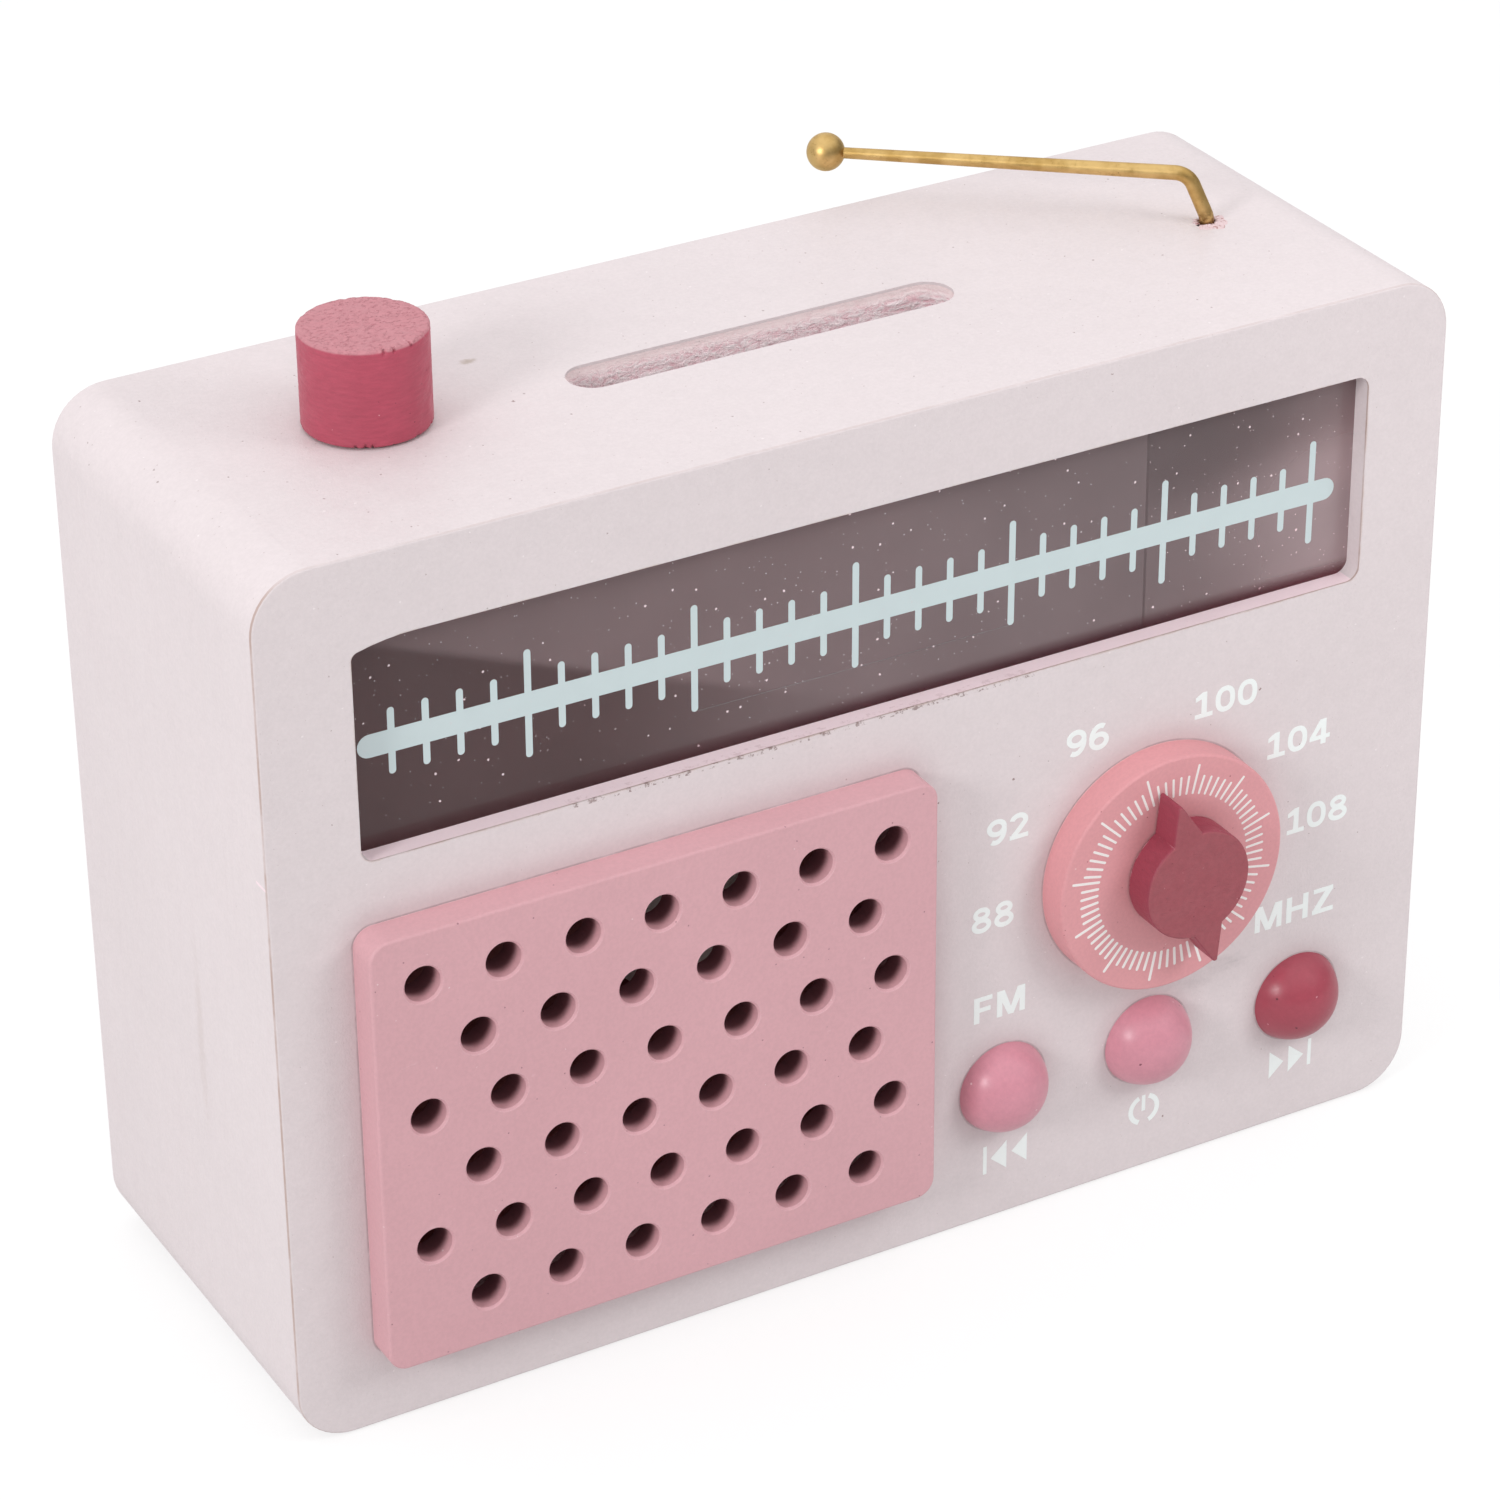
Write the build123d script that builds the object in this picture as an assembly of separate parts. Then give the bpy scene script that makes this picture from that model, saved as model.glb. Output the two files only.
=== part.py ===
from build123d import *
import os
from math import cos, hypot, radians, sin

# A wooden money box shaped like a small table radio. Millimetres, +Z up, +X to the
# viewer's right and -Y towards the viewer. The origin is the centre of the underside.

# Case
case_width = 180.0
case_height = 130.7
case_depth = 62.4
corner_radius = 8.0
board_thickness = 10.0
front_thickness = 6.0
back_thickness = 5.0
edge_ease = 0.4

front_face = -case_depth / 2
back_face = case_depth / 2
ring_front = front_face + front_thickness
ring_back = back_face - back_thickness
half_width = case_width / 2
ceiling = case_height - board_thickness

# Dowels that join the side boards to the top and bottom boards
corner_dowel_radius = 3.0
corner_dowel_cover = 3.5
corner_dowel_length = 20.0
corner_dowel_spacing = 32.0

# Coin slot in the top board
slot_length = 58.6
slot_width = 7.5
slot_x = -0.4
slot_y = -0.5

# Window: a round-cornered opening, and a wider rebate behind it for the pane
window_width = 154.0
window_height = 31.4
window_radius = 2.0
window_corner_run = 9.0
window_corner_drop = 1.3
window_corner_radius = 1.2
window_x = 0.3
window_z = 102.7
pane_thickness = 3.0
pane_margin = 3.0

# Speaker grille, a plate with staggered rows of holes over an opening in the front panel
grille_width = 84.5
grille_height = 66.6
grille_thickness = 5.0
grille_radius = 2.8
grille_x = -36.35
grille_z = 44.5
grille_hole_radius = 2.6
grille_hole_chamfer = 0.3
grille_first_x = -71.2
grille_first_z = 19.3
grille_column_pitch = 11.66
grille_row_pitch = 10.15
grille_stagger = 7.65
grille_rows = 6
grille_columns = 7
sound_opening_width = 76.0
sound_opening_height = 58.0
sound_opening_radius = 4.0

# Dial disc, and the tuning knob that turns in front of it
disc_radius = 18.35
disc_thickness = 4.8
disc_x = 44.4
disc_z = 51.65
knob_x = 45.4
knob_z = 52.0
knob_radius = 8.4
knob_thickness = 4.85
knob_tip_reach = 14.6
knob_ear_half_angle = 16.5
knob_tilt = 14.4
knob_tip_fillet = 0.4
knob_blind_depth = 3.4
knob_axle_radius = 3.0
knob_retainer_radius = 8.0

# Half-bead buttons under the dial
button_radius = 7.0
button_places = {
    # X, Z, and how far the ball's centre lies behind the front panel's face
    "rewind_button": (20.0, 21.75, 1.0),
    "power_button": (44.25, 21.75, 1.0),
    "forward_button": (70.0, 20.9, 1.5),
}
peg_radius = 2.5
peg_depth_in_button = 4.0

# Upright knob on the top board
volume_radius = 8.65
volume_height = 13.6
volume_x = -57.6
volume_y = 2.1
volume_axle_radius = 4.0
volume_blind_depth = 8.0
volume_retainer_radius = 9.0

# Shared by both knobs
running_clearance = 0.05
face_gap = 0.3
retainer_gap = 0.4
retainer_thickness = 5.0
axle_proud = 1.0

# Aerial: a rod that stands in a hole in the top board, leans, and bends over to a ball
aerial_x = 71.0
aerial_y = 0.0
aerial_radius = 1.05
aerial_tip_radius = 0.78
aerial_hole_depth = 8.5
aerial_bottom_gap = 0.5
aerial_straight_rise = 0.9
aerial_lean = (-2.24, 1.6)
aerial_rise = 7.25
aerial_ball_place = (29.4, 33.9)
aerial_ball_radius = 2.72
aerial_kink_radius = 3.0
aerial_bend_radius = 2.8
aerial_bend_stub = 2.2

# Coin stopper in the back panel: a cup with a flange and a grip bar
stopper_x = 0.0
stopper_z = 30.0
stopper_radius = 15.0
stopper_wall = 1.8
stopper_depth = 7.8
stopper_flange_radius = 18.0
stopper_flange_thickness = 1.8
stopper_grip_length = 20.0
stopper_grip_width = 4.0
stopper_grip_height = 2.6


def block(x_from, x_to, y_from, y_to, z_from, z_to):
    """A box given by its limits."""
    size = Box(x_to - x_from, y_to - y_from, z_to - z_from)
    return Pos((x_from + x_to) / 2, (y_from + y_to) / 2, (z_from + z_to) / 2) * size


def round_y(radius, x, z, y_from, y_to):
    """A cylinder along Y."""
    return Pos(x, (y_from + y_to) / 2, z) * Rot(90, 0, 0) * Cylinder(radius, y_to - y_from)


def round_z(radius, x, y, z_from, z_to):
    """A cylinder along Z."""
    return Pos(x, y, (z_from + z_to) / 2) * Cylinder(radius, z_to - z_from)


def upright(outline, x, z, y_from, y_to):
    """A flat outline stood upright, facing -Y, and given a thickness along Y."""
    return Pos(x, y_to, z) * Rot(90, 0, 0) * extrude(outline, y_to - y_from)


def case_prism(y_from, y_to):
    """The case's rounded outline, as a solid between two depths."""
    outline = RectangleRounded(case_width, case_height, corner_radius)
    return upright(outline, 0, case_height / 2, y_from, y_to)


def ease_front(solid, amount):
    """Round off the edges of the face that looks towards the viewer."""
    return fillet(solid.faces().sort_by(Axis.Y)[0].edges(), amount)


def ease_back(solid, amount):
    """Round off the edges of the face that looks away from the viewer."""
    return fillet(solid.faces().sort_by(Axis.Y)[-1].edges(), amount)


def corner_dowel_solids():
    """Two dowels at each corner of the frame of boards."""
    dowels = []
    low_from = corner_dowel_cover
    high_from = case_height - corner_dowel_cover - corner_dowel_length
    for x in (-half_width + board_thickness / 2, half_width - board_thickness / 2):
        for y in (-corner_dowel_spacing / 2, corner_dowel_spacing / 2):
            for z_from in (low_from, high_from):
                z_to = z_from + corner_dowel_length
                dowels.append(round_z(corner_dowel_radius, x, y, z_from, z_to))
    return dowels


def aerial_corners():
    """The aerial's route: foot, kink just above the board, bend, and the ball's centre."""
    foot_z = case_height - aerial_hole_depth + aerial_bottom_gap
    kink_z = case_height + aerial_straight_rise
    top_z = case_height + aerial_rise
    foot = Vector(aerial_x, aerial_y, foot_z)
    kink = Vector(aerial_x, aerial_y, kink_z)
    bend = Vector(aerial_x + aerial_lean[0], aerial_y + aerial_lean[1], top_z)
    ball = Vector(aerial_ball_place[0], aerial_ball_place[1], top_z)
    return foot, kink, bend, ball


def make_top_board(dowels):
    board = case_prism(ring_front, ring_back) & block(
        -half_width, half_width, ring_front, ring_back, ceiling, case_height
    )
    slot = extrude(SlotOverall(slot_length, slot_width), board_thickness)
    board -= Pos(slot_x, slot_y, ceiling) * slot
    hole_radius = volume_axle_radius + running_clearance
    board -= round_z(hole_radius, volume_x, volume_y, ceiling, case_height)
    hole_radius = aerial_radius + running_clearance
    hole_floor = case_height - aerial_hole_depth
    board -= round_z(hole_radius, aerial_x, aerial_y, hole_floor, case_height)
    return board - dowels


def make_bottom_board(dowels):
    board = case_prism(ring_front, ring_back) & block(
        -half_width, half_width, ring_front, ring_back, 0, board_thickness
    )
    return board - dowels


def make_side(x_from, x_to, dowels):
    board = block(x_from, x_to, ring_front, ring_back, board_thickness, ceiling)
    return board - dowels


def make_front_panel():
    panel = ease_front(case_prism(front_face, ring_front), edge_ease)
    rebate_front = ring_front - pane_thickness
    panel -= upright(window_outline(), window_x, window_z, front_face, rebate_front)
    panel -= make_window_pane()
    sound = RectangleRounded(sound_opening_width, sound_opening_height, sound_opening_radius)
    panel -= upright(sound, grille_x, grille_z, front_face, ring_front)
    hole_radius = knob_axle_radius + running_clearance
    panel -= round_y(hole_radius, knob_x, knob_z, front_face, ring_front)
    for x, z, _ in button_places.values():
        panel -= round_y(peg_radius, x, z, front_face, ring_front)
    return panel


def make_back_panel():
    panel = ease_back(case_prism(ring_back, back_face), edge_ease)
    hole_radius = stopper_radius + running_clearance
    return panel - round_y(hole_radius, stopper_x, stopper_z, ring_back, back_face)


def window_outline():
    """The routed window, with its upper left corner cut short in a long curve."""
    left, top = -window_width / 2, window_height / 2
    low_end = (left, top - window_corner_drop)
    right_end = (left + window_corner_run, top)
    routed = TangentArc(right_end, low_end, tangent=(-1, 0))
    sliver = make_face([routed, Polyline(low_end, (left, top), right_end)])
    outline = Rectangle(window_width, window_height) - sliver
    upper_left = outline.vertices().group_by(Axis.X)[0].sort_by(Axis.Y)[-1]
    outline = fillet(upper_left, window_corner_radius)
    lower_left = outline.vertices().group_by(Axis.X)[0].sort_by(Axis.Y)[0]
    return fillet([lower_left, *outline.vertices().group_by(Axis.X)[-1]], window_radius)


def make_window_pane():
    pane_width = window_width + 2 * pane_margin
    pane_height = window_height + 2 * pane_margin
    outline = Rectangle(pane_width, pane_height)
    return upright(outline, window_x, window_z, ring_front - pane_thickness, ring_front)


def make_speaker_grille():
    plate_front = front_face - grille_thickness
    outline = RectangleRounded(grille_width, grille_height, grille_radius)
    plate = upright(outline, grille_x, grille_z, plate_front, front_face)
    plate = ease_front(plate, edge_ease)
    mouth = Cone(grille_hole_radius, grille_hole_radius + grille_hole_chamfer, grille_hole_chamfer)
    holes = []
    for row in range(grille_rows):
        staggered = row % 2 == 0
        first_x = grille_first_x + (grille_stagger if staggered else 0)
        z = grille_first_z + row * grille_row_pitch
        for column in range(grille_columns - 1 if staggered else grille_columns):
            x = first_x + column * grille_column_pitch
            holes.append(round_y(grille_hole_radius, x, z, plate_front, front_face))
            holes.append(Pos(x, plate_front + grille_hole_chamfer / 2, z) * Rot(90, 0, 0) * mouth)
    return plate - holes


def make_dial_disc():
    disc_front = front_face - disc_thickness
    disc = round_y(disc_radius, disc_x, disc_z, disc_front, front_face)
    disc = ease_front(disc, edge_ease)
    hole_radius = knob_axle_radius + running_clearance
    return disc - round_y(hole_radius, knob_x, knob_z, disc_front, front_face)


def knob_back_face():
    return front_face - disc_thickness - face_gap


def make_tuning_knob():
    half_base = knob_radius * sin(radians(knob_ear_half_angle))
    shoulder = knob_radius * cos(radians(knob_ear_half_angle))
    outline = Circle(knob_radius)
    for side in (1, -1):
        tip = (0, side * knob_tip_reach)
        ear = Polyline((0, 0), (half_base, side * shoulder), tip, (-half_base, side * shoulder), close=True)
        outline += make_face(ear)
    knob = extrude(outline, knob_thickness)
    tips = knob.edges().filter_by(Axis.Z).sort_by(lambda edge: abs(edge.center().Y))[-2:]
    knob = fillet(tips, knob_tip_fillet)
    knob = fillet(knob.faces().sort_by(Axis.Z)[-1].edges(), edge_ease)
    knob -= Pos(0, 0, knob_blind_depth / 2) * Cylinder(knob_axle_radius, knob_blind_depth)
    return Pos(knob_x, knob_back_face(), knob_z) * Rot(90, 0, 0) * Rot(0, 0, knob_tilt) * knob


def make_knob_axle():
    y_to = ring_front + retainer_gap + retainer_thickness + axle_proud
    return round_y(knob_axle_radius, knob_x, knob_z, knob_back_face() - knob_blind_depth, y_to)


def make_knob_retainer():
    y_from = ring_front + retainer_gap
    y_to = y_from + retainer_thickness
    ring = round_y(knob_retainer_radius, knob_x, knob_z, y_from, y_to)
    return ring - round_y(knob_axle_radius, knob_x, knob_z, y_from, y_to)


def make_button(x, z, sunk):
    """A cap cut from a ball, a little less than half of it."""
    bead = Pos(x, front_face + sunk, z) * Sphere(hypot(button_radius, sunk))
    bead &= round_y(button_radius, x, z, front_face - button_radius, front_face)
    return bead - make_peg(x, z)


def make_peg(x, z):
    return round_y(peg_radius, x, z, front_face - peg_depth_in_button, ring_front - face_gap)


def make_volume_knob():
    z_from = case_height + face_gap
    knob = round_z(volume_radius, volume_x, volume_y, z_from, z_from + volume_height)
    knob = fillet(knob.edges().sort_by(Axis.Z)[-1], edge_ease)
    return knob - round_z(volume_axle_radius, volume_x, volume_y, z_from, z_from + volume_blind_depth)


def make_volume_axle():
    z_from = ceiling - retainer_gap - retainer_thickness - axle_proud
    z_to = case_height + face_gap + volume_blind_depth
    return round_z(volume_axle_radius, volume_x, volume_y, z_from, z_to)


def make_volume_retainer():
    z_to = ceiling - retainer_gap
    z_from = z_to - retainer_thickness
    ring = round_z(volume_retainer_radius, volume_x, volume_y, z_from, z_to)
    return ring - round_z(volume_axle_radius, volume_x, volume_y, z_from, z_to)


def make_aerial_rod():
    foot, kink, bend, ball = aerial_corners()
    reach = (ball - bend).normalized()
    stub = bend + reach * aerial_bend_stub
    route = FilletPolyline(foot, kink, bend, stub, radius=[aerial_kink_radius, aerial_bend_radius])
    shank = sweep(Plane(foot, z_dir=(0, 0, 1)) * Circle(aerial_radius), path=route)
    taper_length = (ball - stub).length
    taper = Cone(
        aerial_radius, aerial_tip_radius, taper_length, align=(Align.CENTER, Align.CENTER, Align.MIN)
    )
    return shank + Plane(stub, z_dir=reach) * taper


def make_aerial_ball(rod):
    ball = aerial_corners()[3]
    return Pos(ball.X, ball.Y, ball.Z) * Sphere(aerial_ball_radius) - rod


def make_coin_stopper():
    flange_inner = back_face + face_gap
    flange_outer = flange_inner + stopper_flange_thickness
    flange = round_y(stopper_flange_radius, stopper_x, stopper_z, flange_inner, flange_outer)
    flange = ease_back(flange, edge_ease)
    cup_from = flange_inner - stopper_depth
    cup = round_y(stopper_radius, stopper_x, stopper_z, cup_from, flange_inner)
    cup -= round_y(stopper_radius - stopper_wall, stopper_x, stopper_z, cup_from, flange_inner)
    grip_outline = SlotOverall(stopper_grip_length, stopper_grip_width)
    grip = upright(grip_outline, stopper_x, stopper_z, flange_outer, flange_outer + stopper_grip_height)
    grip = ease_back(grip, edge_ease)
    return flange + cup + grip


def build():
    dowels = corner_dowel_solids()
    rod = make_aerial_rod()
    pegs = [make_peg(x, z) for x, z, _ in button_places.values()]
    nodes = {
        "top_board": make_top_board(dowels),
        "bottom_board": make_bottom_board(dowels),
        "left_side": make_side(-half_width, -half_width + board_thickness, dowels),
        "right_side": make_side(half_width - board_thickness, half_width, dowels),
        "corner_dowels": Compound(children=dowels),
        "front_panel": make_front_panel(),
        "back_panel": make_back_panel(),
        "window_pane": make_window_pane(),
        "speaker_grille": make_speaker_grille(),
        "dial_disc": make_dial_disc(),
        "tuning_knob": make_tuning_knob(),
        "knob_axle": make_knob_axle(),
        "knob_retainer": make_knob_retainer(),
        "button_pegs": Compound(children=pegs),
        "volume_knob": make_volume_knob(),
        "volume_axle": make_volume_axle(),
        "volume_retainer": make_volume_retainer(),
        "aerial_rod": rod,
        "aerial_ball": make_aerial_ball(rod),
        "coin_stopper": make_coin_stopper(),
    }
    for name, (x, z, sunk) in button_places.items():
        nodes[name] = make_button(x, z, sunk)
    return nodes


os.makedirs("parts", exist_ok=True)
for name, shape in build().items():
    export_step(shape, f"parts/{name}.step")
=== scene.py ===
from math import atan2, cos, degrees, pi, radians, sin

import bpy
from mathutils import Matrix, Vector, geometry, noise

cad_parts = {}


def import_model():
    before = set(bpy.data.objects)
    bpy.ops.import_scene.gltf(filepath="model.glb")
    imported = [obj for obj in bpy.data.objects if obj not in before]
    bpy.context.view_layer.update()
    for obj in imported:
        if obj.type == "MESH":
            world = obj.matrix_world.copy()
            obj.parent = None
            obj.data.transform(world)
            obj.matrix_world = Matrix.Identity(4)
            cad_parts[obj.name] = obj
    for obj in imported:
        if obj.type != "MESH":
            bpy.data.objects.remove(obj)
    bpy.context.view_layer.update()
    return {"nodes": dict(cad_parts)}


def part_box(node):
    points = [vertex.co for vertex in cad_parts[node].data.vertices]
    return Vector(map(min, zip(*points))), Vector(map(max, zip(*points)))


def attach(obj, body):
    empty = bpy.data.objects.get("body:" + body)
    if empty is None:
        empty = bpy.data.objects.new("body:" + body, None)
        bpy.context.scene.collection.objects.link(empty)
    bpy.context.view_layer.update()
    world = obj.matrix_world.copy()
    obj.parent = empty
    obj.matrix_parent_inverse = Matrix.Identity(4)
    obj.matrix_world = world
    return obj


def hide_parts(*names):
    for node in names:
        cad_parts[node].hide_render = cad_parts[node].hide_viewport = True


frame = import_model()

MM = 0.001
INK_HEIGHT = 0.03

# ------------------------------------------------------------------ places read from the frame

CASE_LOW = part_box("front_panel")[0]
CASE_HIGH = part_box("top_board")[1]
FRONT_FACE = CASE_LOW.y
BACK_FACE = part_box("back_panel")[1].y
RING_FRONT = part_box("front_panel")[1].y
RING_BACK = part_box("back_panel")[0].y
TOP_FACE = CASE_HIGH.z
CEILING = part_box("top_board")[0].z
FLOOR_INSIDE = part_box("bottom_board")[1].z
WALL_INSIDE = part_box("right_side")[0].x
PANE_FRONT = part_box("window_pane")[0].y
DISC_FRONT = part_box("dial_disc")[0].y
DISC_CENTRE = (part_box("dial_disc")[0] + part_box("dial_disc")[1]) / 2
KNOB_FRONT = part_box("tuning_knob")[0].y
GRILLE_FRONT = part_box("speaker_grille")[0].y
VOLUME_LOW, VOLUME_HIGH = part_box("volume_knob")
# Sizes in metres that the frame doesn't hold
AERIAL_FOOT = Vector((0.071, 0.0, TOP_FACE))
SLOT_CENTRE = Vector((-0.0004, -0.0005, TOP_FACE))
SLOT_HALF = Vector((0.0293, 0.00375, 0.0))
WINDOW_SILL = 0.0870
RING_PITCH = 0.0008
GRILLE_CORNER = 0.0028
PANE_HAIRLINE = 0.0434


# ------------------------------------------------------------------ node materials


class Paint:
    """A node material being put together round one Principled shader."""

    def __init__(self, name, roughness=0.5, specular=0.5, metallic=0.0):
        self.material = bpy.data.materials.new(name)
        self.material.use_nodes = True
        self.nodes = self.material.node_tree.nodes
        self.links = self.material.node_tree.links
        self.shader = self.nodes["Principled BSDF"]
        self.shader.inputs["Roughness"].default_value = roughness
        self.shader.inputs["Specular IOR Level"].default_value = specular
        self.shader.inputs["Metallic"].default_value = metallic
        self.place = self.add("ShaderNodeTexCoord").outputs["Object"]
        split = self.add("ShaderNodeSeparateXYZ")
        self.wire(self.place, split.inputs[0])
        self.x, self.y, self.z = split.outputs

    def add(self, kind, **settings):
        node = self.nodes.new(kind)
        for key, value in settings.items():
            setattr(node, key, value)
        return node

    def wire(self, source, target):
        """Links a socket, or writes a plain value, into a socket."""
        if isinstance(source, bpy.types.NodeSocket):
            self.links.new(source, target)
        else:
            target.default_value = source

    def math(self, operation, first, second=0.0, third=0.0, clamp=False):
        node = self.add("ShaderNodeMath", operation=operation, use_clamp=clamp)
        for socket, value in zip(node.inputs, (first, second, third)):
            self.wire(value, socket)
        return node.outputs[0]

    def times(self, *values):
        result = values[0]
        for value in values[1:]:
            result = self.math("MULTIPLY", result, value)
        return result

    def most(self, *values):
        result = values[0]
        for value in values[1:]:
            result = self.math("MAXIMUM", result, value)
        return result

    def fade(self, value, start, end, low=0.0, high=1.0):
        """A smooth step from low at start to high at end."""
        node = self.add("ShaderNodeMapRange", interpolation_type="SMOOTHSTEP")
        for socket, number in zip(node.inputs, (value, start, end, low, high)):
            self.wire(number, socket)
        return node.outputs[0]

    def inside(self, axis, low, high):
        """One where low < axis < high."""
        over = self.math("GREATER_THAN", axis, low)
        under = self.math("LESS_THAN", axis, high)
        return self.times(over, under)

    def from_circle(self, centre, radius):
        """Distance in the XZ plane outside a circle; below zero inside it."""
        along = self.math("SUBTRACT", self.x, centre.x)
        up = self.math("SUBTRACT", self.z, centre.z)
        return self.math("SUBTRACT", self.span(along, up), radius)

    def from_panel(self, low, high, corner):
        """Distance in the XZ plane outside a rectangle with round corners."""
        gaps = []
        for value, start, end in ((self.x, low.x, high.x), (self.z, low.z, high.z)):
            offset = self.math("ABSOLUTE", self.math("SUBTRACT", value, (start + end) / 2))
            gap = self.math("SUBTRACT", offset, (end - start) / 2 - corner)
            gaps.append(self.math("MAXIMUM", gap, 0.0))
        return self.math("SUBTRACT", self.span(*gaps), corner)

    def span(self, along, up):
        return self.math("SQRT", self.math("ADD", self.times(along, along), self.times(up, up)))

    def scaled(self, factors):
        node = self.add("ShaderNodeVectorMath", operation="MULTIPLY")
        self.wire(self.place, node.inputs[0])
        node.inputs[1].default_value = factors
        return node.outputs[0]

    def clouds(self, size, detail=3.0, roughness=0.5, stretch=None, distortion=0.0):
        """Noise between 0 and 1 whose blotches are about size metres across."""
        node = self.add("ShaderNodeTexNoise")
        vector = self.place if stretch is None else self.scaled(stretch)
        self.wire(vector, node.inputs["Vector"])
        node.inputs["Scale"].default_value = 1.0 / size
        node.inputs["Detail"].default_value = detail
        node.inputs["Roughness"].default_value = roughness
        node.inputs["Distortion"].default_value = distortion
        return node.outputs["Fac"]

    def specks(self, cell, size, keep, seed=0.0):
        """Small ragged dots, at most one in each cell; keep is the share of cells with one."""
        shift = self.add("ShaderNodeVectorMath", operation="ADD")
        self.wire(self.place, shift.inputs[0])
        shift.inputs[1].default_value = (seed, seed * 0.7, seed * 0.3)
        wobble = self.add("ShaderNodeTexNoise")
        self.wire(shift.outputs[0], wobble.inputs["Vector"])
        wobble.inputs["Scale"].default_value = 1.2 / size
        ragged = self.add("ShaderNodeVectorMath", operation="MULTIPLY_ADD")
        self.wire(wobble.outputs["Color"], ragged.inputs[0])
        ragged.inputs[1].default_value = (size * 1.3,) * 3
        self.wire(shift.outputs[0], ragged.inputs[2])
        dots = self.add("ShaderNodeTexVoronoi")
        self.wire(ragged.outputs[0], dots.inputs["Vector"])
        dots.inputs["Scale"].default_value = 1.0 / cell
        pick = self.add("ShaderNodeSeparateColor")
        self.wire(dots.outputs["Color"], pick.inputs[0])
        chosen = self.math("LESS_THAN", pick.outputs[0], keep)
        radius = self.math("MULTIPLY_ADD", pick.outputs[1], 0.6 * size / cell, 0.4 * size / cell)
        spot = self.fade(self.math("DIVIDE", dots.outputs["Distance"], radius), 1.0, 0.6)
        return self.times(spot, chosen)

    def speckled(self, base, scatter, share, tone):
        """base with specks of another tone; scatter is their cell, size, keep and seed."""
        return self.blend(self.times(self.specks(*scatter), share), base, tone)

    def smudge(self, centre, radii, ragged=0.5):
        """A soft blot, given by its centre and its three radii in metres."""
        offset = self.add("ShaderNodeVectorMath", operation="SUBTRACT")
        self.wire(self.place, offset.inputs[0])
        offset.inputs[1].default_value = centre
        shrink = self.add("ShaderNodeVectorMath", operation="DIVIDE")
        self.wire(offset.outputs[0], shrink.inputs[0])
        shrink.inputs[1].default_value = radii
        length = self.add("ShaderNodeVectorMath", operation="LENGTH")
        self.wire(shrink.outputs[0], length.inputs[0])
        patchy = self.math("SUBTRACT", self.clouds(min(radii) * 0.8, 4.0), 0.5)
        broken = self.math("MULTIPLY_ADD", patchy, ragged * 2.0, length.outputs["Value"])
        return self.fade(broken, 1.0, 0.15)

    def edge(self, radius):
        """Grows from 0 on a flat face to about 0.3 on a sharp edge."""
        bevel = self.add("ShaderNodeBevel", samples=6)
        bevel.inputs["Radius"].default_value = radius
        normal = self.add("ShaderNodeNewGeometry")
        dot = self.add("ShaderNodeVectorMath", operation="DOT_PRODUCT")
        self.wire(bevel.outputs[0], dot.inputs[0])
        self.wire(normal.outputs["Normal"], dot.inputs[1])
        return self.math("SUBTRACT", 1.0, dot.outputs["Value"])

    def blend(self, share, first, second):
        """first where share is 0, second where it is 1."""
        node = self.add("ShaderNodeMix", data_type="RGBA")
        self.wire(share, node.inputs["Factor"])
        self.wire(colour(first), node.inputs["A"])
        self.wire(colour(second), node.inputs["B"])
        return node.outputs["Result"]

    def tone(self, base, amount, value):
        """base, lighter or darker by amount as value goes from 0 to 1."""
        light = self.fade(value, 0.25, 0.75, 1.0 - amount, 1.0 + amount)
        node = self.add("ShaderNodeVectorMath", operation="SCALE")
        self.wire(base if isinstance(base, bpy.types.NodeSocket) else colour(base)[:3], node.inputs[0])
        self.wire(light, node.inputs["Scale"])
        return node.outputs[0]

    def relief(self, height, depth, under=None):
        """A bump of that depth in metres, on top of an earlier one."""
        node = self.add("ShaderNodeBump")
        node.inputs["Strength"].default_value = 1.0
        node.inputs["Distance"].default_value = depth
        self.wire(height, node.inputs["Height"])
        if under is not None:
            self.wire(under, node.inputs["Normal"])
        return node.outputs[0]

    def finish(self, base, roughness=None, normal=None):
        self.wire(base, self.shader.inputs["Base Color"])
        if roughness is not None:
            self.wire(roughness, self.shader.inputs["Roughness"])
        if normal is not None:
            self.wire(normal, self.shader.inputs["Normal"])
        return self.material


def colour(value):
    """A socket as it is, or a hex colour as linear red, green, blue and alpha."""
    if isinstance(value, bpy.types.NodeSocket):
        return value
    parts = [int(value[i:i + 2], 16) / 255.0 for i in (0, 2, 4)]
    linear = [p / 12.92 if p <= 0.04045 else ((p + 0.055) / 1.055) ** 2.4 for p in parts]
    return (*linear, 1.0)


def sprayed_grain(p, fine=0.00035, depth=0.00002, where=1.0):
    """The faint orange peel of sprayed paint, with its wider waves."""
    waves = p.relief(p.times(p.clouds(0.006, 2.0), where), depth * 3.0)
    return p.relief(p.times(p.clouds(fine, 3.0, 0.6), where), depth, waves)


def slot_mask(p):
    """One on the walls of the coin slot."""
    off_x = p.math("ABSOLUTE", p.math("SUBTRACT", p.x, SLOT_CENTRE.x))
    in_x = p.math("LESS_THAN", off_x, SLOT_HALF.x + 0.0002)
    off_y = p.math("ABSOLUTE", p.math("SUBTRACT", p.y, SLOT_CENTRE.y))
    in_y = p.math("LESS_THAN", off_y, SLOT_HALF.y + 0.0002)
    return p.times(in_x, in_y, p.inside(p.z, CEILING + 0.00005, TOP_FACE - 0.0004))


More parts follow.
